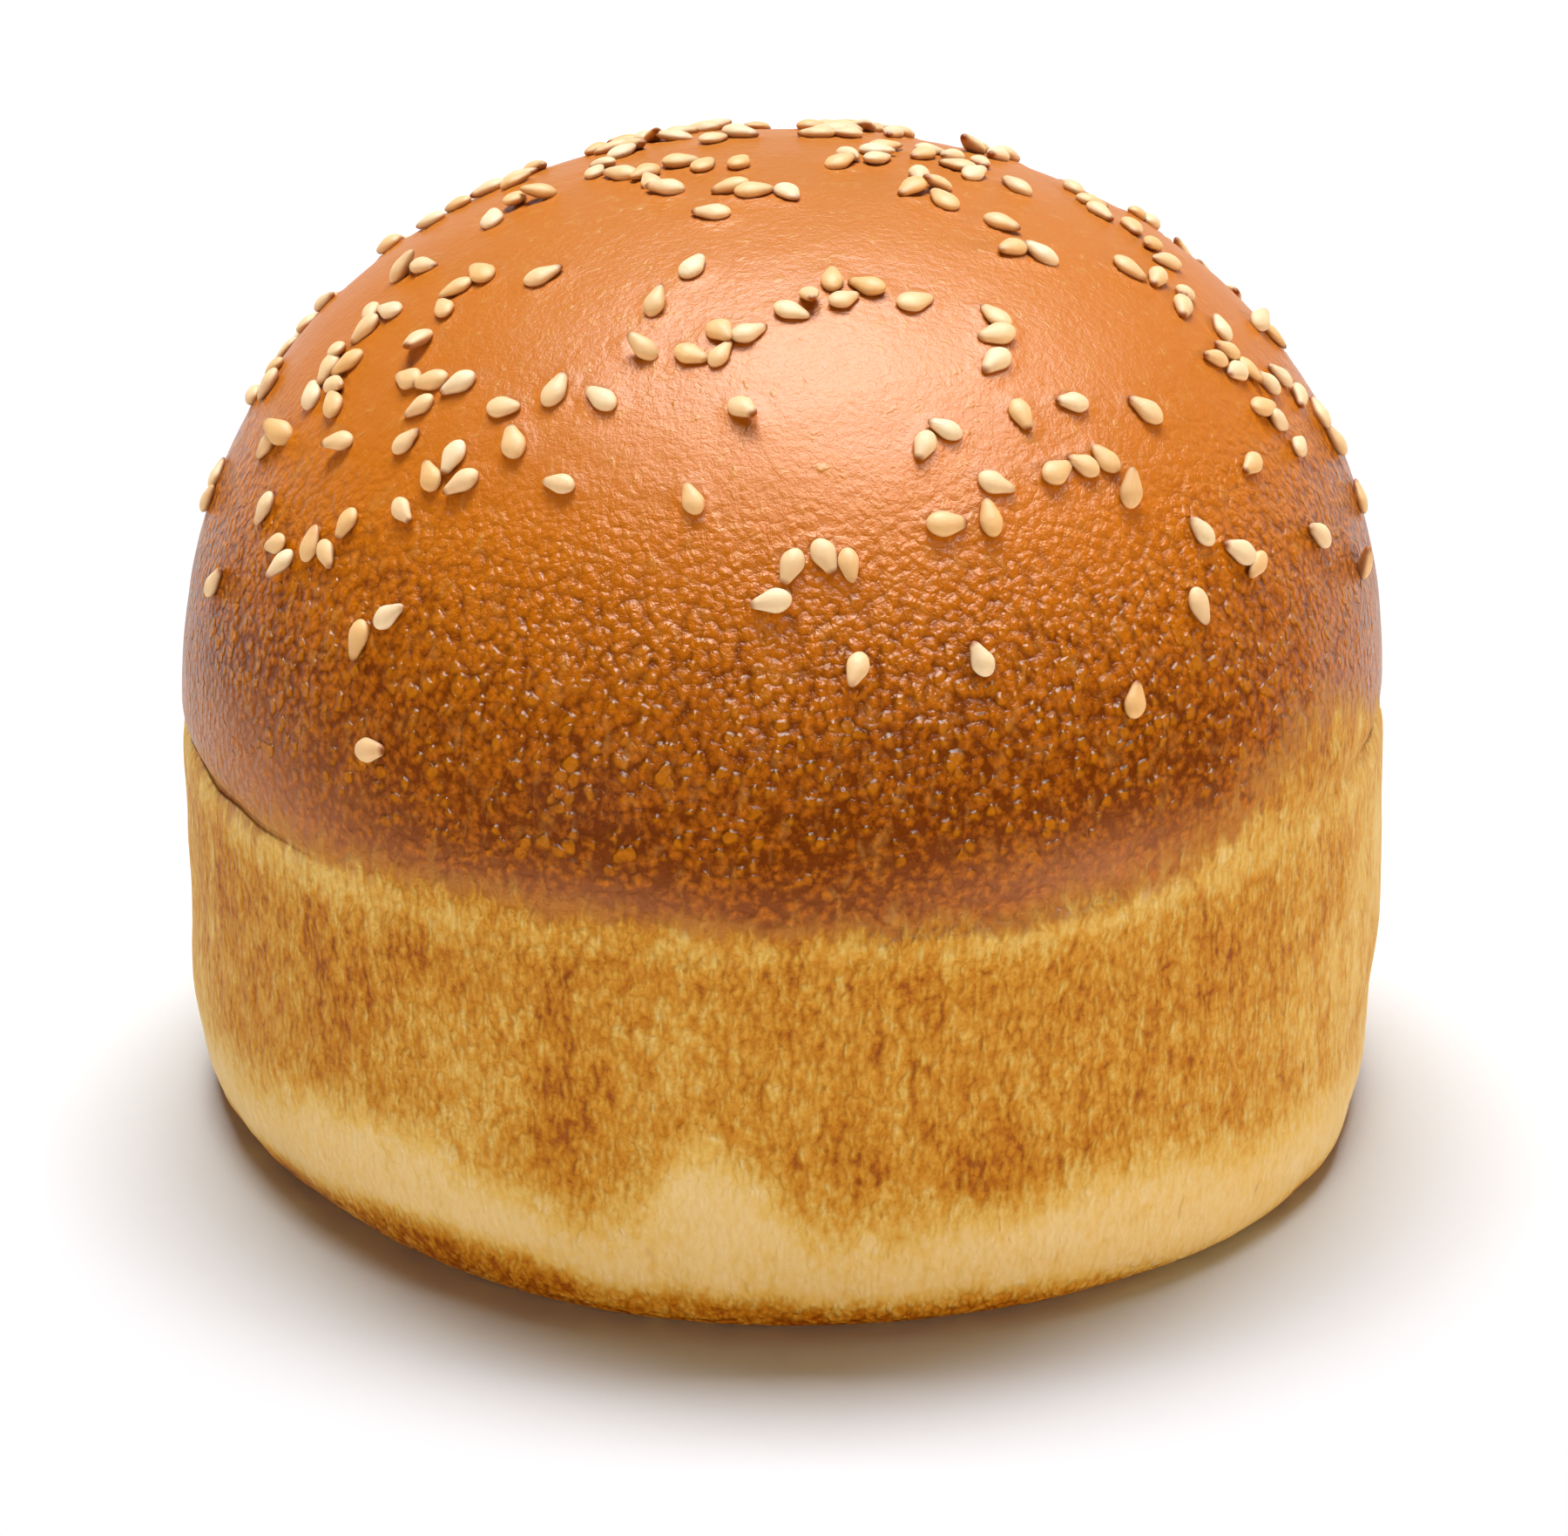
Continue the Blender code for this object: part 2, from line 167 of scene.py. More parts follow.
# Dull mauve skin just above the seam, partly real and partly painted sheen: the white walls' reflection
# on the dome's flanks
DULL_SKIN_AND_SHEEN_PATCHES = ((-62.0, 22.0, 2.0 * MM, 7.0 * MM, 0.8), (-86.0, 13.0, 9.0 * MM, 9.0 * MM, 0.25),
         (76.0, 14.0, 8.0 * MM, 8.0 * MM, 0.7),
         (28.0, 16.0, 2.5 * MM, 3.5 * MM, 0.6), (-20.0, 20.0, 2.0 * MM, 3.0 * MM, 0.4),
         (180.0, 70.0, 4.0 * MM, 6.0 * MM, 0.6))
ROUGH_PATCHES = ((-18.0, 8.0, 47.5 * MM, 3.6 * MM, 1.0), (140.0, 9.0, 50.0 * MM, 4.0 * MM, 0.8))

SEAM_BAND = 8.0 * MM            # the seam layer runs from 0 to 1 over this height
SEAM_WANDER = 0.5 * MM
SEAM_WANDER_LENGTH = 6.0 * MM
WASH_RISE = (22.0 * MM, 36.0 * MM)      # the crown is paler and smoother from here up
BROWNING_FALL = (34.0 * MM, 7.0 * MM)   # the dome browns from here down
BLISTER_BAND = ((2.5 * MM, 8.0 * MM), (30.0 * MM, 14.0 * MM))
PALE_CORNER = (62.0, 22.0)              # azimuth and spread where the dome browned less
PALE_CORNER_FALL = (24.0 * MM, 4.0 * MM)
LEFT_CREASE = (-44.0, -62.0)            # azimuths where the crease begins and is full
RIGHT_CREASE = (66.0, 78.0)
RIGHT_CREASE_SHARE = 0.6
LEFT_FOLD = (-45.0, -66.0)              # the same for the modelled part of the crease
RIGHT_FOLD = (66.0, 80.0)
FOLD_SHARE = 0.5
FOLD_HALF_HEIGHT = 0.55 * MM
LIP = ((4.0, 10.0), (36.0, 28.0))       # azimuths of a lip under the seam: its start and its end
LIP_EDGE = (0.3 * MM, -0.3 * MM)
LIP_FALL = (-7.0 * MM, -1.0 * MM)
LIP_DEPTH = 0.55 * MM
SKIRT_HEIGHT = 0.16 * MM                # of the glaze drawn up round a seed
SKIRT_AT = 1.05                         # of the seed's own outline
SKIRT_FADE = 0.3

# Typical values of the materials
CRUST_IOR = 1.45
CRUST_SPECULAR = 0.41
GLOSS_TINT = "FFF4EC"          # a cooked egg film reflects a little warmer than glass
GLAZE_ROUGHNESS = 0.19
CROWN_ROUGHNESS = 0.21         # added where the crown's wash is thickest
WORN_ROUGHNESS = 0.15          # added on the rough patches
SIDE_ROUGHNESS = 0.5
CREASE_ROUGHNESS = 0.9
SIDE_STOPS = (0.0, 0.3, 0.56, 0.8, 1.0)  # how far the side toasted for each of its five colours

# Fineness of the modelled surfaces
CRUST_CELLS = 126              # quads along each edge of the cube that becomes the crust
PROFILE_STEPS = 400
UNDERSIDE_SHARE = 0.3          # the hidden underside gets this share of the quads its area asks for
SEED_SIDES = 18
SEED_BANDS = 15

# The draws that make each seed its own, as shares of its size, and how brown its tip may be
SEED_NARROWING = (0.28, 0.42)
SEED_BEND = 0.08
SEED_PLUMPNESS = (0.9, 1.12)
SEED_WIDTHS = (0.92, 1.08)
TIP_TONES = (0.25, 0.5, 0.7, 0.9, 1.0)
# The underside's brown is partly toasting and partly painted shade where the seed sits on the crust
UNDERSIDE_TOAST_AND_SHADE = 0.75
HALO_TOAST = 0.12

# The photograph's view: a long lens looking down at the bun from the front
VIEW_TILT = math.radians(23.6)
VIEW_DISTANCE = 520.0 * MM
VIEW_CENTRE = Vector((-0.26, 0.0, 28.56)) * MM
VIEW_LENS = 135.9              # mm, on a 36 mm wide sensor
SENSOR_WIDTH = 36.0

# Lamps above as place and size, and soft fills round the front that no gloss shows
LAMPS_ABOVE = {"overhead_softbox": ((-0.05, 0.60, 2.35), (1.5, 0.75)),
               "gloss_reflector": ((0.45, 0.25, 2.35), (2.2, 2.3))}
FILL_TURNS = {"left_fill": -80.0, "front_fill": 0.0, "right_fill": 80.0}
FILL_DISTANCE = 1.7
FILL_HEIGHT = 0.16
FILL_SIZE = (2.6, 0.3)
LIGHT_BOUNCES = 2              # enough between one loaf and white paper
FLOOR_HALF_WIDTH = 3.0

# The room by its direction: how far up the wall's glow begins and ends, and how far back it is
WALL_RISING = (-0.7, -0.45)
WALL_FALLING = (0.08, 0.45)
WALL_BEHIND = (0.4, 0.85)


def linear(hex_colour):
    """An sRGB hex colour as linear red, green and blue."""
    parts = [int(hex_colour[i:i + 2], 16) / 255.0 for i in (0, 2, 4)]
    return tuple(p / 12.92 if p <= 0.04045 else ((p + 0.055) / 1.055) ** 2.4 for p in parts)


def colour_setting(name, description, hex_colour):
    """A colour that the panel shows, from its sRGB hex value."""
    return FloatVectorProperty(name=name, description=description, subtype="COLOR", size=3,
                               min=0.0, max=1.0, default=linear(hex_colour))


def length_setting(name, description, default):
    """A length in metres that the panel shows."""
    return FloatProperty(name=name, description=description, default=default, min=0.0,
                         subtype="DISTANCE", unit="LENGTH", precision=5)


class CrustSettings(bpy.types.PropertyGroup):
    """Relief and colours of the baked crust."""

    lump_depth: length_setting("Lump depth", "Broad bumps of the dome", 0.10 * MM)
    pebble_width: length_setting("Pebble width", "From one small lump to the next", 0.85 * MM)
    pebble_depth: length_setting("Pebble depth", "Height of those lumps", 0.30 * MM)
    blister_width: length_setting("Blister width", "From one small blister to the next", 1.35 * MM)
    blister_height: length_setting("Blister height", "Height of those blisters", 0.36 * MM)
    crinkle_width: length_setting("Crinkle width", "From one wrinkle of the glaze to the next", 0.7 * MM)
    crinkle_depth: length_setting("Crinkle depth", "Depth of those wrinkles", 0.01 * MM)
    grain_width: length_setting("Grain width", "Largest lumps of the fine grain", 0.66 * MM)
    grain_depth: length_setting("Grain depth", "Depth of that grain", 0.26 * MM)
    streak_width: length_setting("Streak width", "Upright streaks of the side", 1.2 * MM)
    drop_width: length_setting("Drop width", "From one long lump of the side to the next", 0.55 * MM)
    drop_depth: length_setting("Drop depth", "Height of those lumps", 0.45 * MM)
    pore_gap: length_setting("Pore gap", "From one pale bubble of the side to the next", 3.0 * MM)
    crease_depth: length_setting("Crease depth", "Crease between dome and side", 0.55 * MM)

    glazed_orange: colour_setting("Glazed orange", "Egg-washed crust near the top", "D27808")
    glazed_crown: colour_setting("Glazed crown", "Egg-washed crust at the very top", "CC7618")
    glazed_amber: colour_setting("Glazed amber", "Thin skin over blisters", "D08006")
    glazed_brown: colour_setting("Glazed brown", "Darkest egg-washed crust", "743200")
    # Partly the dull skin's own colour and partly painted sheen on the dome's flanks
    dull_mauve_and_sheen: colour_setting("Seam mauve", "Dull skin just above the seam", "D59468")
    seam_tan: colour_setting("Seam tan", "Where the egg wash thins out", "C8843C")
    side_cream: colour_setting("Side cream", "Palest crust, where the ring shaded it", "FBE3A6")
    side_straw: colour_setting("Side straw", "Pale gold crust", "F3CE6C")
    side_gold: colour_setting("Side gold", "Crust that baked against the ring", "E6AA38")
    side_amber: colour_setting("Side amber", "Browner bars of the side", "D38A14")
    # Also the painted shade in the crease between dome and side
    side_brown: colour_setting("Side brown", "Browned edge of the underside", "AC5C0A")


class SeedSettings(bpy.types.PropertyGroup):
    """Size and colours of a hulled sesame seed."""

    length: length_setting("Length", "From the round end to the tip", 3.25 * MM)
    width: length_setting("Width", "Across the widest place", 2.1 * MM)
    thickness: length_setting("Thickness", "Of a seed lying flat", 1.25 * MM)
    raised: length_setting("Raised", "Middle of a lying seed above the crust", 0.38 * MM)

    ivory: colour_setting("Ivory", "Seed that stayed pale", "FDE8C2")
    straw: colour_setting("Straw", "Seed that took some colour", "F4C785")
    # This brown is also the painted shade on the seeds' undersides
    toasted: colour_setting("Toasted", "Tips and edges that browned", "9C540F")


class StudioSettings(bpy.types.PropertyGroup):
    """Light and floor of the plain studio."""

    softbox_power: FloatProperty(name="Softbox power", description="Large overhead softbox",
                                 default=77.0, min=0.0, subtype="POWER", unit="POWER")
    reflector_power: FloatProperty(name="Reflector power", description="Panel that only the gloss shows",
                                   default=184.0, min=0.0, subtype="POWER", unit="POWER")
    left_power: FloatProperty(name="Left power", description="Soft fill lamp on the left",
                              default=9.5, min=0.0, subtype="POWER", unit="POWER")
    front_power: FloatProperty(name="Front power", description="Soft fill lamp on the camera's side",
                               default=10.4, min=0.0, subtype="POWER", unit="POWER")
    right_power: FloatProperty(name="Right power", description="Soft fill lamp on the right",
                               default=16.0, min=0.0, subtype="POWER", unit="POWER")
    wall_light: FloatProperty(name="Wall light", description="White wall behind the bun",
                              default=1.1, min=0.0)
    room_light: FloatProperty(name="Room light", description="Room on the camera's side",
                              default=0.02, min=0.0)
    ceiling_light: FloatProperty(name="Ceiling light", description="Ceiling, as a share of the walls",
                                 default=0.05, min=0.0)
    fill_colour: colour_setting("Fill colour", "Warm light of the fill lamps", "FFDCB4")
    floor_white: colour_setting("Floor white", "Seamless paper", "E5E8EE")


def superellipse(turn, across, up, fullness):
    """Point on a quarter superellipse: turn 0 is (across, 0) and a quarter turn is (0, up)."""
    power = 2.0 / fullness
    return across * max(math.cos(turn), 0.0) ** power, up * max(math.sin(turn), 0.0) ** power


def bun_profile():
    """The outline (radius, height) of the turned form, from the top down to the underside."""
    quarter = math.pi / 2
    points = [(0.0, SEAM_HEIGHT + DOME_RISE)]
    for step in range(1, PROFILE_STEPS + 1):
        turn = quarter * (1.0 - step / PROFILE_STEPS)
        radius, rise = superellipse(turn, BUN_RADIUS, DOME_RISE, DOME_FULLNESS)
        points.append((radius, SEAM_HEIGHT + rise))
    for step in range(PROFILE_STEPS + 1):
        inset, drop = superellipse(quarter * step / PROFILE_STEPS, FOOT_INSET, FOOT_RISE, FOOT_FULLNESS)
        points.append((FOOT_RADIUS - FOOT_INSET + inset, FOOT_RISE - drop))
    rim = FOOT_RADIUS - FOOT_INSET
    for step in range(1, PROFILE_STEPS + 1):
        points.append((rim * (1.0 - step / PROFILE_STEPS), 0.0))
    return np.array(points)


def hill(value, middle, width):
    """A smooth hump of height 1 at the middle, fading over the width to either side."""
    return np.exp(-((value - middle) / width) ** 2)


def ramp(value, low, high):
    """0 below low, 1 above high, smooth between; it falls instead where high is under low."""
    share = np.clip((value - low) / (high - low), 0.0, 1.0)
    return share * share * (3.0 - 2.0 * share)


def grain(points, size, shift=0.0):
    """Smooth noise from about -1 to 1, with bumps of the given size."""
    return np.array([noise.noise(point) for point in (points / size + shift).tolist()])


def outward_of(points):
    """Level unit vectors away from the Z axis."""
    flat = points * (1.0, 1.0, 0.0)
    return flat / np.maximum(np.linalg.norm(flat, axis=1, keepdims=True), 1e-9)


def azimuth_of(points):
    """Degrees from the front, + to the right."""
    return np.degrees(np.arctan2(points[:, 0], -points[:, 1]))


def turned_from(azimuth, middle):
    """Degrees from the middle, the short way round."""
    return (azimuth - middle + 180.0) % 360.0 - 180.0


def bulge(azimuth, places):
    """Sum of hills along azimuths in degrees, each with its middle, spread and height."""
    return sum(high * hill(turned_from(azimuth, middle), 0.0, spread)
               for middle, spread, high in places)


def patches(azimuth, height, places):
    """Sum of patches: azimuth, spread in degrees, height, half-height and strength of each."""
    return sum(strength * hill(turned_from(azimuth, middle), 0.0, spread) * hill(height, up, half)
               for middle, spread, up, half, strength in places)


def uneven(points):
    """Where points of the turned form lie on the real loaf. The underside stays flat."""
    height = points[:, 2]
    outward = outward_of(points)
    azimuth = azimuth_of(points)
    above = np.maximum(height - SEAM_HEIGHT, 0.0) / DOME_RISE
    below = np.maximum(SEAM_HEIGHT - height, 0.0) / SEAM_HEIGHT
    near_seam = 1.0 - above - below
    off_axis = np.linalg.norm(points[:, :2], axis=1) / BUN_RADIUS
    lift = np.minimum(height / FOOT_RISE, 1.0)

    moved = points.copy()
    moved[:, 0] += SEAM_LEAN * near_seam + FOOT_LEAN * below
    moved[:, 2] += SEAM_TILT * outward[:, 0] * off_axis * lift * near_seam
    swell = SWELL * grain(points, SWELL_LENGTH, SWELL_START)
    push = swell * off_axis * (SWELL_AT_FOOT + (1.0 - SWELL_AT_FOOT) * lift)
    push += bulge(azimuth, CREASE_BULGES) * hill(height, SEAM_HEIGHT, CREASE_HALF_HEIGHT)
    push += bulge(azimuth, FOOT_BULGES) * off_axis * (1.0 - lift)
    waist = hill(height, WAIST_HEIGHT, WAIST_HALF_HEIGHT) * off_axis * lift
    push += bulge(azimuth, WAIST_BULGES) * waist
    return moved + outward * push[:, None]


def even_quads():
    """A cube of square quads as a mesh, with its corners as unit directions of even spacing."""
    shape = bmesh.new()
    bmesh.ops.create_cube(shape, size=2.0)
    bmesh.ops.subdivide_edges(shape, edges=shape.edges, cuts=CRUST_CELLS - 1, use_grid_fill=True)
    mesh = bpy.data.meshes.new("bun_crust")
    shape.to_mesh(mesh)
    shape.free()
    corners = np.tan(mesh_points(mesh) * math.pi / 4)
    return mesh, corners / np.linalg.norm(corners, axis=1, keepdims=True)


def mesh_points(mesh):
    """The vertices of a mesh as rows."""
    flat = np.empty(len(mesh.vertices) * 3)
    mesh.vertices.foreach_get("co", flat)
    return flat.reshape(-1, 3)


def set_mesh_points(mesh, points):
    """Move the vertices of a mesh to rows of points."""
    mesh.vertices.foreach_set("co", points.ravel())
    mesh.update()


def mesh_normals(mesh):
    """The vertex normals of a mesh as rows."""
    flat = np.empty(len(mesh.vertices) * 3)
    mesh.vertex_normals.foreach_get("vector", flat)
    return flat.reshape(-1, 3)


def wrap_on_profile(directions):
    """Points of the turned form under unit directions, so that quads keep an even size."""
    outline = bun_profile()
    steps = np.linalg.norm(np.diff(outline, axis=0), axis=1)
    middles = 0.5 * (outline[1:] + outline[:-1])
    bands = steps * middles[:, 0]
    bands[middles[:, 1] <= 0.0] *= UNDERSIDE_SHARE
    covered = np.concatenate(([0.0], np.cumsum(bands))) / bands.sum()
    wanted = 0.5 * (1.0 - directions[:, 2])
    radius = np.interp(wanted, covered, outline[:, 0])
    height = np.interp(wanted, covered, outline[:, 1])
    outward = outward_of(directions)
    return outward * radius[:, None] + np.stack((0.0 * height, 0.0 * height, height), axis=1)


def dome_reach(height_angle):
    """Distance from the middle of the seam to the dome at a height angle in radians."""
    across = math.cos(height_angle) / BUN_RADIUS
    up = math.sin(height_angle) / DOME_RISE
    return (across ** DOME_FULLNESS + up ** DOME_FULLNESS) ** (-1.0 / DOME_FULLNESS)


def direction(azimuth, height_angle):
    """Unit vector from the middle of the seam, for angles in radians."""
    flat = math.cos(height_angle)
    return Vector((flat * math.sin(azimuth), -flat * math.cos(azimuth), math.sin(height_angle)))


def on_dome(azimuth, height_angle):
    """Point of the even dome, used only to measure the distance between seeds."""
    return direction(azimuth, height_angle) * dome_reach(height_angle)


def clumps(draw):
    """Every clump as azimuth and height angle in radians, number of seeds and tip hour."""
    for ring, members in SHOWN_CLUMPS.items():
        for azimuth, count, hour in members:
            yield math.radians(azimuth), math.radians(ring), count, hour
    for ring in BACK_RINGS:
        height_angle = math.radians(ring)
        gap = math.degrees(BACK_CLUMP_GAP / (dome_reach(height_angle) * math.cos(height_angle)))
        azimuth = BACK_FROM + draw.uniform(0.0, gap)
        while azimuth < BACK_TO:
            count = draw.choice(BACK_CLUMP_SIZES)
            tilt = math.radians(draw.uniform(-BACK_RING_WANDER, BACK_RING_WANDER))
            yield math.radians(azimuth), height_angle + tilt, count, draw.uniform(0.0, 12.0)
            azimuth += gap * draw.uniform(*BACK_GAPS)


def seed_places():
    """Azimuth, height angle, tip heading, size and lean of every seed, by a seeded draw."""
    draw = random.Random(DRAW_SEED)
    places = []
    middles = []
    for azimuth, height_angle, count, hour in clumps(draw):
        spots = [(azimuth, height_angle)]
        for member in range(count):
            for attempt in range(SEED_TRIES):
                start_azimuth, start_height = draw.choice(spots)
                reach = dome_reach(start_height)
                bearing = draw.uniform(0.0, math.tau)
                distance = draw.uniform(SEED_SPACING, SEED_REACH) if member + attempt else 0.0
                height = start_height + distance * math.cos(bearing) / reach
                narrowed = max(math.cos(start_height), NARROWEST_RING)
                around = distance * math.sin(bearing) / (reach * narrowed)
                spot = (start_azimuth + around, height)
                middle = on_dome(*spot)
                if all((middle - other).length > SEED_SPACING for other in middles):
                    break
            else:
                continue
            heading = math.radians(DEGREES_PER_HOUR * hour) + draw.gauss(0.0, HEADING_SPREAD)
            if member:
                heading += draw.uniform(-LATER_HEADING, LATER_HEADING)
            size = draw.uniform(*SEED_SIZES)
            lean = math.radians(draw.gauss(0.0, LEAN_SPREAD))
            if draw.random() < LEANING_SHARE:
                lean += math.radians(LEANING)
            spots.append(spot)
            middles.append(middle)
            places.append((*spot, heading, size, lean))
    return places


def seed_frame(crust, settings, place):
    """Matrix of a seed on the crust: X is the tip, Z stands off, and the scale is its size."""
    azimuth, height_angle, heading, size, lean = place
    seam_middle = Vector((SEAM_LEAN, 0.0, SEAM_HEIGHT))
    point, normal, _, _ = crust.ray_cast(seam_middle, direction(azimuth, height_angle))
    uphill = (Vector((0.0, 0.0, 1.0)) - normal * normal.z).normalized()
    right = uphill.cross(normal)
    tip = uphill * math.cos(heading) + right * math.sin(heading)
    tip = tip * math.cos(lean) + normal * math.sin(lean)
    side = normal.cross(tip).normalized()
    matrix = Matrix((tip, side, tip.cross(side))).transposed().to_4x4()
    raised = settings.raised + LEANING_PIVOT * settings.length * abs(math.sin(lean))
    matrix.translation = point + normal * raised
    return matrix @ Matrix.Scale(size, 4)


def loaf_surface():
    """The smooth loaf as a mesh with its quads, before any relief."""
    mesh, directions = even_quads()
    set_mesh_points(mesh, uneven(wrap_on_profile(directions)))
    return mesh


def mesh_tree(mesh):
    """A mesh as a surface to drop things on."""
    shape = bmesh.new()
    shape.from_mesh(mesh)
    tree = BVHTree.FromBMesh(shape)
    shape.free()
    return tree


def seam_level(points):
    """Height over the seam, which runs up a little from left to right."""
    return points[:, 2] - SEAM_HEIGHT - SEAM_TILT * outward_of(points)[:, 0]


def bake_masks(points):
    """How the loaf baked, from 0 to 1 at each point, as named layers."""
    azimuth = azimuth_of(points)
    height = points[:, 2]
    level = seam_level(points)
    tall = points * (1.0, 1.0, 0.2)
    blotch = grain(points, 11.0 * MM, 5.0)
    mottle = grain(points, 4.0 * MM, 9.0)
    streak = grain(tall, 3.4 * MM, 2.0)
    fine_streak = grain(tall, 1.5 * MM, 4.0)

    glaze_end = GLAZE_END + bulge(azimuth, GLAZE_RISES)
    glaze_end += MM * (1.1 * blotch + 0.9 * mottle + 0.6 * fine_streak)
    fade = GLAZE_FADE + bulge(azimuth, GLAZE_FADES)
    glaze = ramp(level, glaze_end - fade, glaze_end + fade)

    wash = ramp(level + 2.0 * MM * blotch, *WASH_RISE)
    browning = ramp(level, *BROWNING_FALL) * (0.78 + 0.25 * blotch) + 0.14 * mottle
    browning -= 0.35 * hill(azimuth, *PALE_CORNER) * ramp(level, *PALE_CORNER_FALL)

    toasting = SIDE_TOASTING + 0.10 * blotch + 0.09 * mottle + 0.10 * streak + 0.08 * fine_streak
    toasting += patches(azimuth, height, BARS)
    cream_top = CREAM_TOP + bulge(azimuth, CREAM_RISES)
    cream_top += MM * (1.6 * streak + 0.9 * fine_streak + 1.8 * blotch + 1.2 * mottle)
    cream = ramp(height, cream_top + CREAM_FADE, cream_top - CREAM_FADE)
    toasting += (CREAM_TOASTING + 0.06 * mottle - toasting) * cream
    rim_top = RIM_TOP + bulge(azimuth, RIM_RISES) + MM * (0.7 * blotch + 0.7 * streak)
    rim = ramp(height, rim_top + RIM_FADE, rim_top - RIM_FADE)
    toasting += (RIM_TOASTING + 0.12 * mottle - toasting) * rim

    # Dull skin above the seam, with painted sheen on the dome's flanks
    dull_skin_and_sheen = patches(azimuth, level, DULL_SKIN_AND_SHEEN_PATCHES) * (1.0 + 0.5 * blotch)
    rough = patches(azimuth, height, ROUGH_PATCHES) * (1.0 + mottle)
    blisters = ramp(level, *BLISTER_BAND[0]) * ramp(level, *BLISTER_BAND[1])
    seam = 0.5 + (level + SEAM_WANDER * grain(points, SEAM_WANDER_LENGTH, 4.0)) / SEAM_BAND
    crease = ramp(azimuth, *LEFT_CREASE) + RIGHT_CREASE_SHARE * ramp(azimuth, *RIGHT_CREASE)
    layers = (glaze, wash, browning, toasting, dull_skin_and_sheen, rough, blisters, seam, crease)
    return {name: np.clip(layer, 0.0, 1.0) for name, layer in zip(BAKE_LAYERS, layers)}


def crust_relief(points, masks, settings):
    """How far each point stands out of the smooth loaf, in metres."""
    azimuth = azimuth_of(points)
    level = seam_level(points)
    glaze = masks["glaze"]
    on_side = 1.0 - glaze
    tall = points * (1.0, 1.0, 0.3)
    relief = settings.lump_depth * grain(points, 7.0 * MM, 1.0)
    relief += 0.5 * settings.lump_depth * grain(points, 3.0 * MM, 6.0)
    relief += glaze * 0.5 * settings.crinkle_depth * grain(points, 1.7 * MM, 8.0)
    relief += on_side * 0.12 * MM * grain(tall, 2.6 * MM, 3.0)
    relief += on_side * 0.05 * MM * grain(tall, 1.4 * MM, 7.0)

    flank = FOLD_SHARE * (ramp(azimuth, *LEFT_FOLD) + ramp(azimuth, *RIGHT_FOLD))
    wander = SEAM_WANDER * grain(points, SEAM_WANDER_LENGTH, 4.0)
    relief -= settings.crease_depth * flank * hill(level + wander, 0.0, FOLD_HALF_HEIGHT)
    lip = ramp(azimuth, *LIP[0]) * ramp(azimuth, *LIP[1])
    shelf = ramp(level + wander, *LIP_EDGE) * ramp(level, *LIP_FALL)
    relief += LIP_DEPTH * lip * shelf

    foot = ramp(points[:, 2], 9.0 * MM, 2.0 * MM)
    relief += 0.35 * MM * foot * grain(points, 8.0 * MM, 11.0)
    return relief * ramp(points[:, 2], 0.0, 1.5 * MM)


def seed_skirts(points, frames, settings):
    """Height of the glaze drawn up around the seeds, in metres."""
    tree = KDTree(len(points))
    for index, point in enumerate(points.tolist()):
        tree.insert(point, index)
    tree.balance()
    height = np.zeros(len(points))
    for matrix in frames:
        inverse = matrix.inverted()
        for point, index, _ in tree.find_range(matrix.translation, settings.length):
            local = inverse @ point
            around = math.hypot(2.0 * local.x / settings.length, 2.0 * local.y / settings.width)
            skirt = SKIRT_HEIGHT * hill(around, SKIRT_AT, SKIRT_FADE)
            height[index] = max(height[index], skirt)
    return height


def store_layers(mesh, layers):
    """Keep named values of the vertices, for a material to read."""
    for name, values in layers.items():
        layer = mesh.attributes.new(name, "FLOAT", "POINT")
        layer.data.foreach_set("value", np.asarray(values, dtype=np.float32))


def seed_shape():
    """A unit seed: rows of points around a teardrop, its tip at +X, and its quads."""
    shape = bmesh.new()
    bmesh.ops.create_uvsphere(shape, u_segments=SEED_SIDES, v_segments=SEED_BANDS, radius=1.0,
                              matrix=Matrix.Rotation(math.pi / 2, 4, "Y"))
    points = np.array([vertex.co[:] for vertex in shape.verts])
    faces = [[vertex.index for vertex in face.verts] for face in shape.faces]
    shape.free()
    return points, faces


def one_seed(points, draw, settings):
    """The unit seed at its size: a rounded drop with its own taper, bend and plumpness."""
    x, y, z = points.T
    narrow = 1.0 - draw.uniform(*SEED_NARROWING) * ramp(x, -0.4, 0.65)
    bend = draw.uniform(-SEED_BEND, SEED_BEND) * (x * x - 0.4)
    plump = draw.uniform(*SEED_PLUMPNESS)
    wide = draw.uniform(*SEED_WIDTHS)
    edge = 1.0 - 0.15 * np.abs(y) ** 4
    return np.stack((
        0.5 * settings.length * x,
        0.5 * settings.width * wide * (y * narrow + bend),
        0.5 * settings.thickness * plump * z * (0.3 + 0.7 * narrow) * edge,
    ), axis=1)


def add_node(tree, kind, values, output=0):
    """Add a shader node, set or link its properties and sockets, and return one output."""
    node = tree.nodes.new("ShaderNode" + kind)
    for key, value in values.items():
        if isinstance(value, bpy.types.NodeSocket):
            tree.links.new(value, node.inputs[key])
        elif isinstance(key, str) and hasattr(node, key):
            setattr(node, key, value)
        else:
            node.inputs[key].default_value = value
    return node.outputs[output] if node.outputs else None


def new_material(name):
    """An empty node material and its tree."""
    material = bpy.data.materials.new(name)
    material.use_nodes = True
    material.node_tree.nodes.clear()
    return material, material.node_tree


def rgba(colour):
    """A colour setting with full opacity."""
    return (*colour, 1.0)


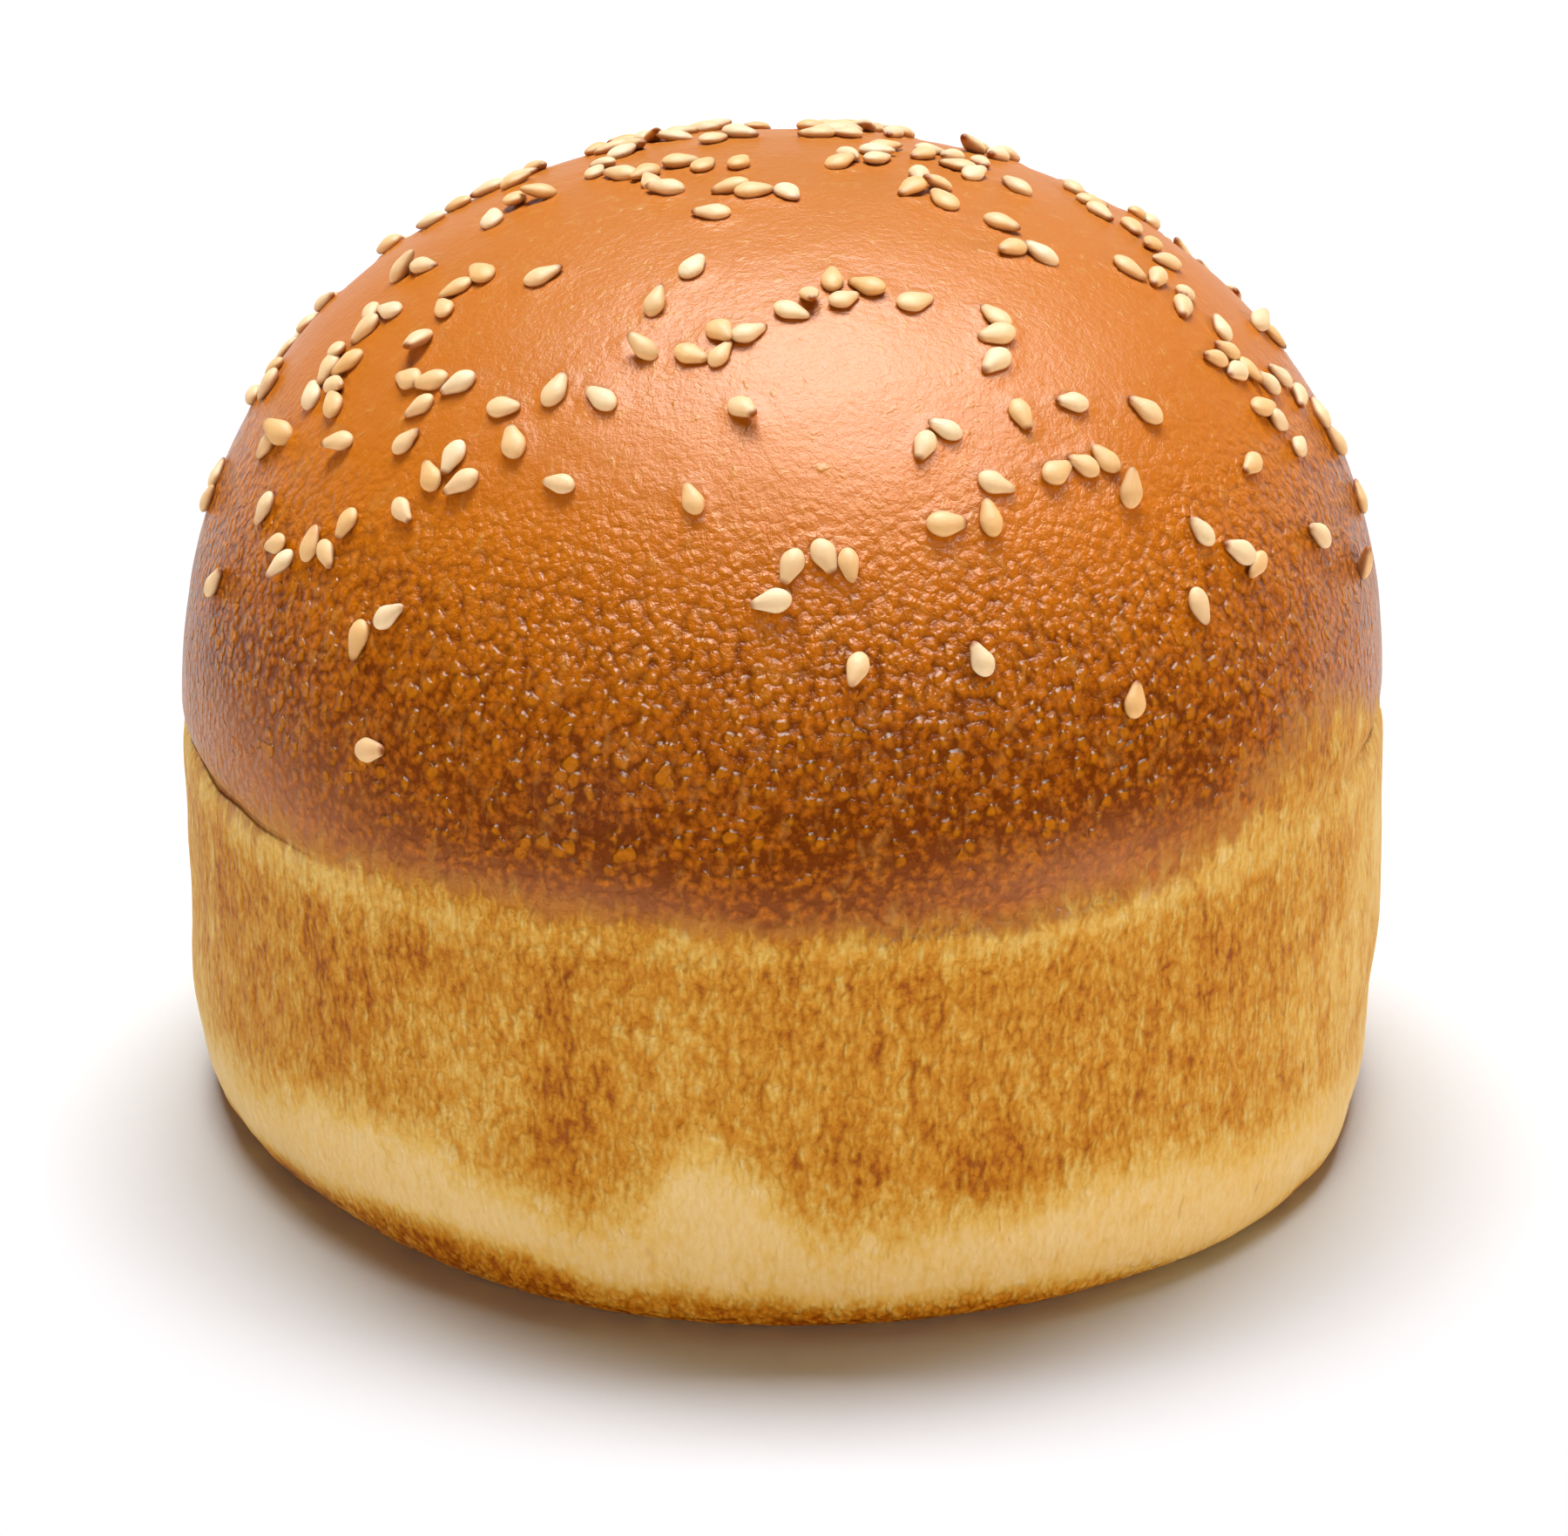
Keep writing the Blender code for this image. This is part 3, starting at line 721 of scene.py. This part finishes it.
def crust_material(settings):
    """Egg-washed enriched dough, oven baked in a ring.

    The wash dries to a hard, glossy, finely crinkled skin that browns from orange to deep brown,
    with thin amber skin over small blisters. Below the seam the dough baked dry against metal, so
    it is matt gold, streaked upwards, with a cream band and a browned rim.
    """
    material, tree = new_material("egg_washed_baked_crust")
    place = add_node(tree, "TexCoord", {}, "Object")
    baked = {name: add_node(tree, "Attribute", {"attribute_name": name}, "Fac")
             for name in BAKE_LAYERS}

    # Small round blisters and pebbles, with a fine grain and finer wrinkles over all
    warp = add_node(tree, "TexNoise", {"Vector": place, "Scale": 1.0 / (1.4 * MM), "Detail": 1.0},
                    "Color")
    warped = add_node(tree, "VectorMath", {"operation": "MULTIPLY_ADD", 0: warp,
                                           1: (0.8 * MM,) * 3, 2: place})
    cells = add_node(tree, "TexVoronoi", {"Vector": warped, "Scale": 1.0 / settings.blister_width,
                                          "Randomness": 1.0}, "Distance")
    patchy = add_node(tree, "TexNoise", {"Vector": place, "Scale": 1.0 / (2.6 * MM), "Detail": 1.0})
    reach = add_node(tree, "Math", {"operation": "MULTIPLY_ADD", 0: patchy, 1: 0.8, 2: cells})
    blister = add_node(tree, "MapRange", {"interpolation_type": "SMOOTHSTEP", "Value": reach,
                                          "From Min": 0.84, "From Max": 0.58})
    pebbles = add_node(tree, "TexVoronoi", {"Vector": warped,
                                            "Scale": 1.0 / settings.pebble_width}, "Distance")
    grit = add_node(tree, "TexNoise", {"Vector": place, "Scale": 1.0 / settings.grain_width,
                                       "Detail": 3.5, "Roughness": 0.72})
    wander = add_node(tree, "TexNoise", {"Vector": warped, "Scale": 1.0 / settings.crinkle_width,
                                         "Detail": 1.0, "Roughness": 0.5})
    crossing = add_node(tree, "Math", {"operation": "PINGPONG", 0: wander, 1: 0.5})
    wrinkle = add_node(tree, "MapRange", {"Value": crossing, "From Min": 0.42, "From Max": 0.5})

    # Glazed colour: browner low down and in hollows, and amber over blisters
    valley = add_node(tree, "Math", {"operation": "MULTIPLY_ADD", 0: blister, 1: -0.5, 2: 1.0})
    deep = add_node(tree, "Math", {"operation": "MULTIPLY", 0: valley, 1: baked["browning"]})
    wrinkled = add_node(tree, "Math", {"operation": "MULTIPLY_ADD", 0: wrinkle, 1: 0.15, 2: deep})
    gritted = add_node(tree, "Math", {"operation": "MULTIPLY_ADD", 0: grit, 1: -2.1, 2: wrinkled})
    pebbled = add_node(tree, "Math", {"operation": "MULTIPLY_ADD", 0: pebbles, 1: 1.3, 2: gritted})
    brown_share = add_node(tree, "Math", {"operation": "ADD", "use_clamp": True, 0: pebbled, 1: 0.36})
    calm = add_node(tree, "MapRange", {"Value": baked["wash"], "To Min": 0.92, "To Max": 0.3})
    brown_share = add_node(tree, "Math", {"operation": "MULTIPLY", 0: brown_share, 1: calm})
    browned = add_node(tree, "Mix", {"data_type": "RGBA", 0: brown_share,
                                     6: rgba(settings.glazed_orange),
                                     7: rgba(settings.glazed_brown)}, 2)
    browned = add_node(tree, "Mix", {"data_type": "RGBA", 0: baked["wash"], 6: browned,
                                     7: rgba(settings.glazed_crown)}, 2)
    thin = add_node(tree, "Math", {"operation": "MULTIPLY", 0: blister, 1: baked["blisters"]})
    amber_share = add_node(tree, "Math", {"operation": "MULTIPLY", 0: thin, 1: 0.75})
    glazed = add_node(tree, "Mix", {"data_type": "RGBA", 0: amber_share, 6: browned,
                                    7: rgba(settings.glazed_amber)}, 2)
    # Mauve above the seam: dull skin, and painted sheen on the flanks, less over blisters
    hollow = add_node(tree, "Math", {"operation": "MULTIPLY_ADD", 0: thin, 1: -0.6, 2: 0.85})
    dull_skin_and_sheen_share = add_node(tree, "Math", {"operation": "MULTIPLY", 0: baked["dull_skin_and_sheen"], 1: hollow})
    dome = add_node(tree, "Mix", {"data_type": "RGBA", 0: dull_skin_and_sheen_share, 6: glazed,
                                  7: rgba(settings.dull_mauve_and_sheen)}, 2)

    # Side: from pale cream to brown by how far it toasted, with upright streaks and pale bubbles
    upright = add_node(tree, "VectorMath", {"operation": "MULTIPLY", 0: warped, 1: (1.0, 1.0, 0.4)})
    streaks = add_node(tree, "TexNoise", {"Vector": upright, "Scale": 1.0 / settings.streak_width,
                                          "Detail": 1.5, "Roughness": 0.6, "Distortion": 0.5})
    leaning = add_node(tree, "VectorMath", {"operation": "MULTIPLY", 0: warped, 1: (1.0, 1.0, 0.7)})
    pores = add_node(tree, "TexVoronoi", {"Vector": leaning, "Scale": 1.0 / settings.pore_gap,
                                          "Randomness": 1.0}, "Distance")
    pore = add_node(tree, "MapRange", {"interpolation_type": "SMOOTHSTEP", "Value": pores,
                                       "From Min": 0.38, "From Max": 0.05})
    drops = add_node(tree, "TexVoronoi", {"Vector": upright,
                                          "Scale": 1.0 / settings.drop_width}, "Distance")
    streaked = add_node(tree, "Math", {"operation": "MULTIPLY_ADD", 0: streaks, 1: -0.7, 2: 0.53})
    dropped = add_node(tree, "Math", {"operation": "MULTIPLY_ADD", 0: drops, 1: 0.45, 2: streaked})
    speckled = add_node(tree, "Math", {"operation": "MULTIPLY_ADD", 0: grit, 1: -0.75, 2: dropped})
    bubbled = add_node(tree, "Math", {"operation": "MULTIPLY_ADD", 0: pore, 1: -0.22, 2: speckled})
    crisp = add_node(tree, "MapRange", {"Value": baked["toasting"], "From Min": 0.1,
                                        "From Max": 0.55, "To Min": 0.35})
    toasted = add_node(tree, "Math", {"operation": "MULTIPLY_ADD", 0: bubbled, 1: crisp,
                                      2: baked["toasting"]})
    side = add_node(tree, "ValToRGB", {0: toasted}, "Color")
    stops = side.node.color_ramp.elements
    while len(stops) < len(SIDE_STOPS):
        stops.new(0.5)
    shades = (settings.side_cream, settings.side_straw, settings.side_gold, settings.side_amber,
              settings.side_brown)
    for stop, place_on_ramp, shade in zip(stops, SIDE_STOPS, shades):
        stop.position = place_on_ramp
        stop.color = rgba(shade)

    # The glaze ends in ragged streaks, tan where it thins out
    ragged = add_node(tree, "Math", {"operation": "MULTIPLY_ADD", 0: streaks, 1: -1.0,
                                     2: baked["glaze"]})
    glazed_share = add_node(tree, "MapRange", {"interpolation_type": "SMOOTHSTEP", "Value": ragged,
                                               "From Min": -0.38, "From Max": 0.48})
    colour = add_node(tree, "Mix", {"data_type": "RGBA", 0: glazed_share, 6: side, 7: dome}, 2)
    bare_share = add_node(tree, "Math", {"operation": "SUBTRACT", 0: 1.0, 1: glazed_share})
    edge = add_node(tree, "Math", {"operation": "MULTIPLY", 0: glazed_share, 1: bare_share})
    edge_share = add_node(tree, "Math", {"operation": "MULTIPLY", 0: edge, 1: 1.8})
    colour = add_node(tree, "Mix", {"data_type": "RGBA", 0: edge_share, 6: colour,
                                    7: rgba(settings.seam_tan)}, 2)

    # The crease between dome and side: a groove, with painted shade darkening it to a thin brown line
    above = add_node(tree, "Math", {"operation": "SUBTRACT", 0: baked["seam"], 1: 0.5})
    off_seam = add_node(tree, "Math", {"operation": "ABSOLUTE", 0: above})
    groove = add_node(tree, "MapRange", {"interpolation_type": "SMOOTHSTEP", "Value": off_seam,
                                         "From Min": 0.05, "From Max": 0.0})
    groove = add_node(tree, "Math", {"operation": "MULTIPLY", 0: groove, 1: baked["crease"]})
    # painted shade in the crease
    crease_shade_share = add_node(tree, "Math", {"operation": "MULTIPLY", 0: groove, 1: 0.8})
    colour = add_node(tree, "Mix", {"data_type": "RGBA", 0: crease_shade_share, 6: colour,
                                    7: rgba(settings.side_brown)}, 2)

    # The glaze shines; the rough patch and the side are matt
    worn = add_node(tree, "Math", {"operation": "MULTIPLY_ADD", 0: baked["rough"],
                                   1: WORN_ROUGHNESS, 2: GLAZE_ROUGHNESS})
    shine = add_node(tree, "Math", {"operation": "MULTIPLY_ADD", 0: baked["wash"],
                                    1: CROWN_ROUGHNESS, 2: worn})
    outer = add_node(tree, "Mix", {"data_type": "FLOAT", 0: glazed_share, 2: SIDE_ROUGHNESS,
                                   3: shine})
    roughness = add_node(tree, "Mix", {"data_type": "FLOAT", 0: crease_shade_share, 2: outer,
                                       3: CREASE_ROUGHNESS})

    rounder = add_node(tree, "Math", {"operation": "MULTIPLY", 0: thin, 1: settings.blister_height})
    unwrinkled = add_node(tree, "Math", {"operation": "MULTIPLY_ADD", 0: wrinkle,
                                         1: -settings.crinkle_depth, 2: rounder})
    finer = add_node(tree, "MapRange", {"Value": baked["wash"], "To Min": settings.grain_depth,
                                        "To Max": 0.32 * settings.grain_depth})
    grainy = add_node(tree, "Math", {"operation": "MULTIPLY_ADD", 0: grit, 1: finer, 2: unwrinkled})
    flatter = add_node(tree, "MapRange", {"Value": baked["wash"], "To Min": -settings.pebble_depth,
                                          "To Max": -0.1 * settings.pebble_depth})
    dome_height = add_node(tree, "Math", {"operation": "MULTIPLY_ADD", 0: pebbles, 1: flatter,
                                          2: grainy})
    drawn = add_node(tree, "Math", {"operation": "MULTIPLY_ADD", 0: streaks, 1: 0.40 * MM,
                                    2: -0.05 * MM})
    risen = add_node(tree, "Math", {"operation": "MULTIPLY_ADD", 0: drops, 1: -settings.drop_depth,
                                    2: drawn})
    rough_side = add_node(tree, "Math", {"operation": "MULTIPLY_ADD", 0: grit, 1: 0.34 * MM, 2: risen})
    side_height = add_node(tree, "Math", {"operation": "MULTIPLY", 0: rough_side, 1: crisp})
    height = add_node(tree, "Mix", {"data_type": "FLOAT", 0: glazed_share, 2: side_height,
                                    3: dome_height})
    creased = add_node(tree, "Math", {"operation": "MULTIPLY_ADD", 0: groove,
                                      1: -settings.crease_depth, 2: height})
    normal = add_node(tree, "Bump", {"Strength": 1.0, "Distance": 1.0, "Height": creased})

    shader = add_node(tree, "BsdfPrincipled", {
        "Base Color": colour, "Roughness": roughness, "IOR": CRUST_IOR,
        "Specular IOR Level": CRUST_SPECULAR, "Specular Tint": rgba(linear(GLOSS_TINT)),
        "Normal": normal})
    add_node(tree, "OutputMaterial", {"Surface": shader})
    return material


def seed_material(settings):
    """Hulled white sesame, baked on the dome.

    Hulling leaves a smooth, faintly oily seed: satin and a little translucent, ivory to straw,
    with tips and raised edges that browned first, and an underside browner where it sits on the crust,
    partly toasting and partly painted shade and bounced light.
    """
    material, tree = new_material("hulled_baked_sesame")
    place = add_node(tree, "TexCoord", {}, "Object")
    # This layer holds browned tips and painted shade on the underside
    toast_and_shade = add_node(tree, "Attribute", {"attribute_name": "toast_and_shade"}, "Fac")
    shade = add_node(tree, "Attribute", {"attribute_name": "shade"}, "Fac")
    mottle = add_node(tree, "TexNoise", {"Vector": place, "Scale": 1.0 / (0.6 * MM), "Detail": 2.0})
    body = add_node(tree, "Mix", {"data_type": "RGBA", 0: shade, 6: rgba(settings.ivory),
                                  7: rgba(settings.straw)}, 2)
    colour = add_node(tree, "Mix", {"data_type": "RGBA", 0: toast_and_shade, 6: body,
                                    7: rgba(settings.toasted)}, 2)
    normal = add_node(tree, "Bump", {"Strength": 1.0, "Distance": 0.04 * MM, "Height": mottle})
    shader = add_node(tree, "BsdfPrincipled", {
        "Base Color": colour, "Roughness": 0.5, "IOR": 1.47, "Specular IOR Level": 0.3,
        "Normal": normal,
        "Subsurface Weight": 0.2, "Subsurface Radius": (1.0, 0.55, 0.25),
        "Subsurface Scale": 0.6 * MM})
    add_node(tree, "OutputMaterial", {"Surface": shader})
    return material


def floor_material(settings):
    """Matt white seamless paper, which takes a soft shadow."""
    material, tree = new_material("white_seamless_paper")
    shader = add_node(tree, "BsdfPrincipled", {"Base Color": rgba(settings.floor_white),
                                               "Roughness": 0.9, "Specular IOR Level": 0.1})
    add_node(tree, "OutputMaterial", {"Surface": shader})
    return material


def add_piece(name, mesh, material):
    """Put a mesh in the scene as a named piece with one material."""
    piece = bpy.data.objects.new(name, mesh)
    bpy.context.scene.collection.objects.link(piece)
    mesh.materials.append(material)
    return piece


class BUN_OT_crust(bpy.types.Operator):
    """Model the bun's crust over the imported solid"""

    bl_idname = "bun.crust"
    bl_label = "Bake the crust"
    bl_options = {"REGISTER", "UNDO"}

    def execute(self, context):
        settings = context.scene.bun_crust
        mesh = loaf_surface()
        tree = mesh_tree(mesh)
        points = mesh_points(mesh)
        masks = bake_masks(points)
        frames = [seed_frame(tree, context.scene.bun_seeds, place) for place in seed_places()]
        relief = crust_relief(points, masks, settings)
        relief += seed_skirts(points, frames, context.scene.bun_seeds)
        set_mesh_points(mesh, points + mesh_normals(mesh) * relief[:, None])
        store_layers(mesh, masks)
        mesh.shade_smooth()
        crust = add_piece("bun_crust", mesh, crust_material(settings))
        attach(crust, "root")
        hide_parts("bun")
        return {"FINISHED"}


class BUN_OT_seeds(bpy.types.Operator):
    """Strew the dome with sesame seeds"""

    bl_idname = "bun.seeds"
    bl_label = "Strew the seeds"
    bl_options = {"REGISTER", "UNDO"}

    def execute(self, context):
        settings = context.scene.bun_seeds
        crust = context.scene.objects.get("bun_crust")
        if crust is None:
            raise RuntimeError("the seeds need the crust first")
        tree = mesh_tree(crust.data)
        draw = random.Random(DRAW_SEED)
        unit, faces = seed_shape()
        points, quads, toast_and_shade, shade = [], [], [], []
        for place in seed_places():
            matrix = np.array(seed_frame(tree, settings, place))
            local = one_seed(unit, draw, settings)
            start = len(unit) * len(shade)
            points.append(local @ matrix[:3, :3].T + matrix[:3, 3])
            quads.extend([start + index for index in face] for face in faces)
            tip = draw.choice(TIP_TONES) * ramp(unit[:, 0], 0.66, 0.98)
            # The underside browns: partly toasting, partly painted shade where the seed meets the crust
            low = UNDERSIDE_TOAST_AND_SHADE * ramp(unit[:, 2], 0.35, -0.5)
            toast_and_shade.append(low + (1.0 - low) * (tip + HALO_TOAST * ramp(unit[:, 0], 0.0, 0.7)))
            shade.append(np.full(len(unit), draw.uniform(0.0, 1.0)))
        mesh = bpy.data.meshes.new("sesame_seeds")
        mesh.from_pydata(np.concatenate(points).tolist(), [], quads)
        store_layers(mesh, {"toast_and_shade": np.concatenate(toast_and_shade), "shade": np.concatenate(shade)})
        mesh.shade_smooth()
        seeds = add_piece("sesame_seeds", mesh, seed_material(settings))
        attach(seeds, "root")
        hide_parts("bun")
        return {"FINISHED"}


class BUN_OT_studio(bpy.types.Operator):
    """Set up the plain floor, the soft light and the camera"""

    bl_idname = "bun.studio"
    bl_label = "Set up the studio"
    bl_options = {"REGISTER", "UNDO"}

    def execute(self, context):
        settings = context.scene.bun_studio
        scene = context.scene

        shape = bmesh.new()
        bmesh.ops.create_grid(shape, x_segments=2, y_segments=2, size=FLOOR_HALF_WIDTH)
        mesh = bpy.data.meshes.new("paper_floor")
        shape.to_mesh(mesh)
        shape.free()
        floor = add_piece("paper_floor", mesh, floor_material(settings))
        floor.visible_glossy = False

        for name, power in (("overhead_softbox", settings.softbox_power),
                            ("gloss_reflector", settings.reflector_power),
                            ("left_fill", settings.left_power),
                            ("front_fill", settings.front_power),
                            ("right_fill", settings.right_power)):
            light = bpy.data.lights.new(name, "AREA")
            light.shape = "RECTANGLE"
            light.energy = power
            lamp = bpy.data.objects.new(name, light)
            if name in LAMPS_ABOVE:
                lamp.location, (light.size, light.size_y) = LAMPS_ABOVE[name]
                lamp.visible_diffuse = name == "overhead_softbox"
            else:
                turn = math.radians(FILL_TURNS[name])
                lamp.location = (FILL_DISTANCE * math.sin(turn), -FILL_DISTANCE * math.cos(turn),
                                 FILL_HEIGHT)
                lamp.rotation_euler = (math.pi / 2, 0.0, turn)
                light.size, light.size_y = FILL_SIZE
                light.color = settings.fill_colour
                lamp.visible_glossy = False
            scene.collection.objects.link(lamp)

        world = bpy.data.worlds.new("white_wall_and_dim_room")
        world.use_nodes = True
        tree = world.node_tree
        tree.nodes.clear()
        towards = add_node(tree, "TexCoord", {}, "Generated")
        depth = add_node(tree, "SeparateXYZ", {"Vector": towards}, "Y")
        height = add_node(tree, "SeparateXYZ", {"Vector": towards}, "Z")
        rising = add_node(tree, "MapRange", {"Value": height, "From Min": WALL_RISING[0],
                                           "From Max": WALL_RISING[1]})
        falling = add_node(tree, "MapRange", {
            "interpolation_type": "SMOOTHSTEP", "Value": height, "From Min": WALL_FALLING[0],
            "From Max": WALL_FALLING[1], "To Min": 1.0, "To Max": settings.ceiling_light})
        around = add_node(tree, "MapRange", {
            "interpolation_type": "SMOOTHSTEP", "Value": depth, "From Min": WALL_BEHIND[0],
            "From Max": WALL_BEHIND[1], "To Min": settings.room_light,
            "To Max": settings.wall_light})
        band = add_node(tree, "Math", {"operation": "MULTIPLY", 0: rising, 1: falling})
        strength = add_node(tree, "Math", {"operation": "MULTIPLY", 0: around, 1: band})
        glow = add_node(tree, "Background", {"Strength": strength})
        add_node(tree, "OutputWorld", {"Surface": glow})
        scene.world = world
        scene.view_settings.view_transform = "Standard"
        scene.cycles.diffuse_bounces = LIGHT_BOUNCES
        scene.cycles.glossy_bounces = LIGHT_BOUNCES

        lens = bpy.data.cameras.new("photo_view")
        lens.lens = VIEW_LENS
        lens.sensor_width = SENSOR_WIDTH
        camera = bpy.data.objects.new("photo_view", lens)
        back = Vector((0.0, -math.cos(VIEW_TILT), math.sin(VIEW_TILT)))
        camera.location = VIEW_CENTRE + VIEW_DISTANCE * back
        camera.rotation_euler = (math.pi / 2 - VIEW_TILT, 0.0, 0.0)
        scene.collection.objects.link(camera)
        scene.camera = camera
        return {"FINISHED"}


class VIEW3D_PT_bun(bpy.types.Panel):
    """Steps and settings of the bun"""

    bl_label = "Sesame Burger Bun"
    bl_idname = "VIEW3D_PT_bun"
    bl_space_type = "VIEW_3D"
    bl_region_type = "UI"
    bl_category = "Bun"

    def draw(self, context):
        scene = context.scene
        steps = ((BUN_OT_crust, scene.bun_crust), (BUN_OT_seeds, scene.bun_seeds),
                 (BUN_OT_studio, scene.bun_studio))
        for step, settings in steps:
            box = self.layout.box()
            box.operator(step.bl_idname)
            for name in settings.bl_rna.properties.keys():
                if name not in {"rna_type", "name"}:
                    box.prop(settings, name)


CLASSES = (CrustSettings, SeedSettings, StudioSettings, BUN_OT_crust, BUN_OT_seeds, BUN_OT_studio,
           VIEW3D_PT_bun)


def register():
    """Add the classes and their settings to Blender."""
    for item in CLASSES:
        bpy.utils.register_class(item)
    bpy.types.Scene.bun_crust = PointerProperty(type=CrustSettings)
    bpy.types.Scene.bun_seeds = PointerProperty(type=SeedSettings)
    bpy.types.Scene.bun_studio = PointerProperty(type=StudioSettings)


def unregister():
    """Take the classes and their settings out again."""
    del bpy.types.Scene.bun_studio
    del bpy.types.Scene.bun_seeds
    del bpy.types.Scene.bun_crust
    for item in reversed(CLASSES):
        bpy.utils.unregister_class(item)


def main():
    """Make everything in order."""
    register()
    bpy.ops.bun.crust()
    bpy.ops.bun.seeds()
    bpy.ops.bun.studio()


if __name__ == "__main__":
    main()
